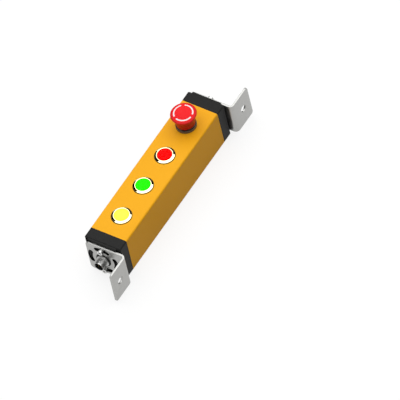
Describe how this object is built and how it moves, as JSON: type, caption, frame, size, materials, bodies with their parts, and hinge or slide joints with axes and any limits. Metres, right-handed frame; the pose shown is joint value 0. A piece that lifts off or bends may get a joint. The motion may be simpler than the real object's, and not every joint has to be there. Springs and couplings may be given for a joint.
{
  "type": "pushbutton control station",
  "caption": "Slim yellow control station with an emergency stop, lit yellow, green and red pushbuttons, a round plug and swivel brackets.",
  "frame": {"origin": "middle of the line between the two rail bolt holes, on the brackets' rail face", "axes": "+X along the rail towards the emergency stop's end, +Y from the rail to the box, +Z out of the front face that carries the buttons"},
  "size_m": [0.29, 0.0555, 0.076],
  "materials": {
    "orange_powder_coat": "satin",
    "black_moulding": "matte",
    "plated_steel": "brushed",
    "polished_ring": "polished",
    "nickel_plated_brass": "satin",
    "gold_contacts": "polished",
    "black_rubber": "matte",
    "yellow_lens": "gloss",
    "green_lens": "gloss",
    "red_lens": "gloss",
    "red_knob": "satin",
    "grey_moulding": "matte",
    "green_board": "gloss"
  },
  "bodies": {
    "brackets": {"bracket_far": "plated_steel", "bracket_near": "plated_steel"},
    "housing": {"housing_profile": "orange_powder_coat", "end_cap_far": "black_moulding", "end_cap_near": "black_moulding", "gasket_far": "black_rubber", "gasket_near": "black_rubber", "cap_screws_far": "plated_steel", "cap_screws_near": "plated_steel", "clamp_screws_far": "plated_steel", "clamp_screws_near": "plated_steel", "plug_shell": "nickel_plated_brass", "pin_carrier": "black_moulding", "plug_pins": "gold_contacts", "plug_nut": "nickel_plated_brass", "plug_ribbon": "grey_moulding", "circuit_board": "green_board", "board_header": "grey_moulding", "yellow_bezel": "polished_ring", "yellow_nut": "plated_steel", "yellow_switch": "grey_moulding", "yellow_terminals": "gold_contacts", "green_bezel": "polished_ring", "green_nut": "plated_steel", "green_switch": "grey_moulding", "green_terminals": "gold_contacts", "red_bezel": "polished_ring", "red_nut": "plated_steel", "red_switch": "grey_moulding", "red_terminals": "gold_contacts", "stop_barrel": "black_moulding", "stop_seal": "black_rubber", "stop_nut": "plated_steel", "contact_block": "grey_moulding", "stop_terminals": "gold_contacts"},
    "yellow_button": {"yellow_lens": "yellow_lens"},
    "green_button": {"green_lens": "green_lens"},
    "red_button": {"red_lens": "red_lens"},
    "stop_plunger": {"stop_stem": "grey_moulding", "stop_spring": "plated_steel"},
    "stop_head": {"stop_knob": "red_knob"}
  },
  "joints": [
    {"name": "bracket_swivel", "type": "hinge", "parent": "brackets", "child": "housing", "pos_m": [0, 0.032, 0], "axis": [1, 0, 0], "range_deg": [-20, 20]},
    {"name": "yellow_press", "type": "slide", "parent": "housing", "child": "yellow_button", "axis": [0, 0, -1], "range_m": [0, 0.002], "stiffness_N_per_m": 800, "springref_m": -0.003},
    {"name": "green_press", "type": "slide", "parent": "housing", "child": "green_button", "axis": [0, 0, -1], "range_m": [0, 0.002], "stiffness_N_per_m": 800, "springref_m": -0.003},
    {"name": "red_press", "type": "slide", "parent": "housing", "child": "red_button", "axis": [0, 0, -1], "range_m": [0, 0.002], "stiffness_N_per_m": 800, "springref_m": -0.003},
    {"name": "stop_press", "type": "slide", "parent": "housing", "child": "stop_plunger", "axis": [0, 0, -1], "range_m": [0, 0.004], "stiffness_N_per_m": 4000, "springref_m": -0.002, "deforming": ["stop_spring"]},
    {"name": "stop_twist", "type": "hinge", "parent": "stop_plunger", "child": "stop_head", "pos_m": [0.069, 0.032, 0.047], "axis": [0, 0, -1], "range_deg": [0, 45], "stiffness_Nm_per_rad": 0.1}
  ]
}
